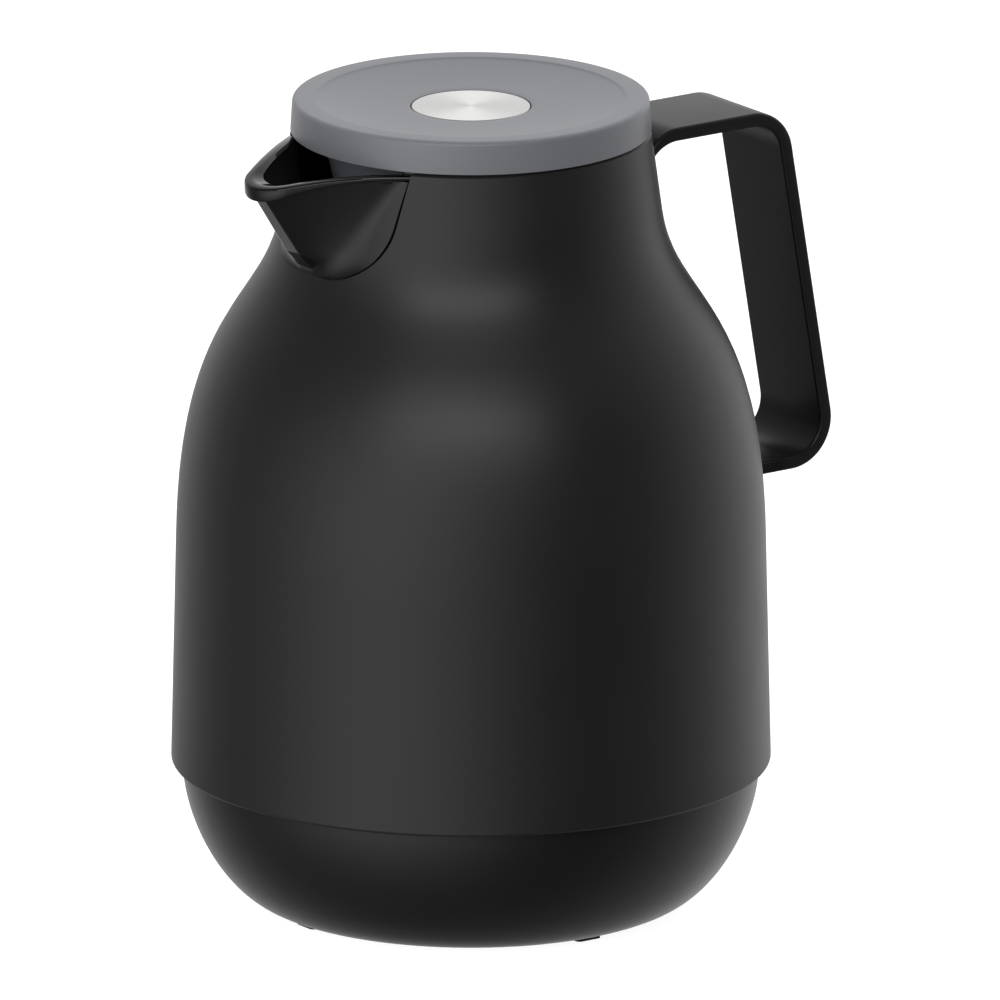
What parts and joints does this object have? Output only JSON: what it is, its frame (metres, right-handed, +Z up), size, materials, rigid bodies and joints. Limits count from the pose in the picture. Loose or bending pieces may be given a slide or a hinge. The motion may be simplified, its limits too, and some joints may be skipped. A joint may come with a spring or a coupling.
{
  "type": "thermal carafe",
  "caption": "Bell-shaped black thermal carafe with a drooping pouring spout, a strap handle and a grey screw-in stopper lid whose steel push button opens the valve.",
  "frame": {"origin": "on the bell's axis, in the plane of the feet", "axes": "+Z up along the bell's axis, +X towards the handle, -X towards the spout, +Y to the left of someone who looks along +X"},
  "size_m": [0.1768, 0.15, 0.2065],
  "materials": {
    "shell_matte": "soft-touch matte black plastic",
    "base_satin": "satin black plastic",
    "foot_rubber": "matte black rubber",
    "cushion_rubber": "matte dark grey rubber",
    "flask_glass": "silvered blown glass",
    "spacer_fibre": "pressed mineral fibre",
    "silicone": "translucent white silicone",
    "spout_gloss": "gloss black plastic",
    "handle_satin": "satin black plastic",
    "screw_steel": "plated steel",
    "stopper_grey": "smooth grey plastic",
    "lid_grey": "matte grey plastic",
    "spring_steel": "drawn stainless wire",
    "button_steel": "spun stainless steel",
    "button_black": "black plastic",
    "rod_steel": "ground stainless steel"
  },
  "bodies": {
    "carafe": {"body_shell": "shell_matte", "base_cup": "base_satin", "base_feet": "foot_rubber", "liner_cushion": "cushion_rubber", "outer_flask": "flask_glass", "inner_flask": "flask_glass", "flask_spacers": "spacer_fibre", "liner_gasket": "silicone", "pouring_collar": "spout_gloss", "handle": "handle_satin", "handle_screws": "screw_steel"},
    "seal": {"stopper_seal": "silicone"},
    "lid": {"stopper_body": "stopper_grey", "valve_cage": "stopper_grey", "lid_cover": "lid_grey", "rod_seal": "silicone", "return_spring": "spring_steel"},
    "button": {"button_disc": "button_steel", "button_core": "button_black", "push_rod": "rod_steel", "valve_plug": "stopper_grey", "valve_seal": "silicone", "valve_screw": "screw_steel"}
  },
  "joints": [
    {"name": "lid_rise", "type": "slide", "parent": "carafe", "child": "seal", "axis": [0, 0, 1], "range_m": [0, 0.0375]},
    {"name": "lid_turn", "type": "hinge", "parent": "seal", "child": "lid", "pos_m": [0, 0, 0.17], "axis": [0, 0, 1], "range_deg": [0, 540]},
    {"name": "button_press", "type": "slide", "parent": "lid", "child": "button", "axis": [0, 0, -1], "range_m": [0, 0.004], "stiffness_N_per_m": 800, "springref_m": -0.004, "deforming": ["return_spring"]}
  ],
  "couplings": [
    {"joint": "lid_rise", "follows": "lid_turn", "m_per_rad": 0.0039789}
  ]
}
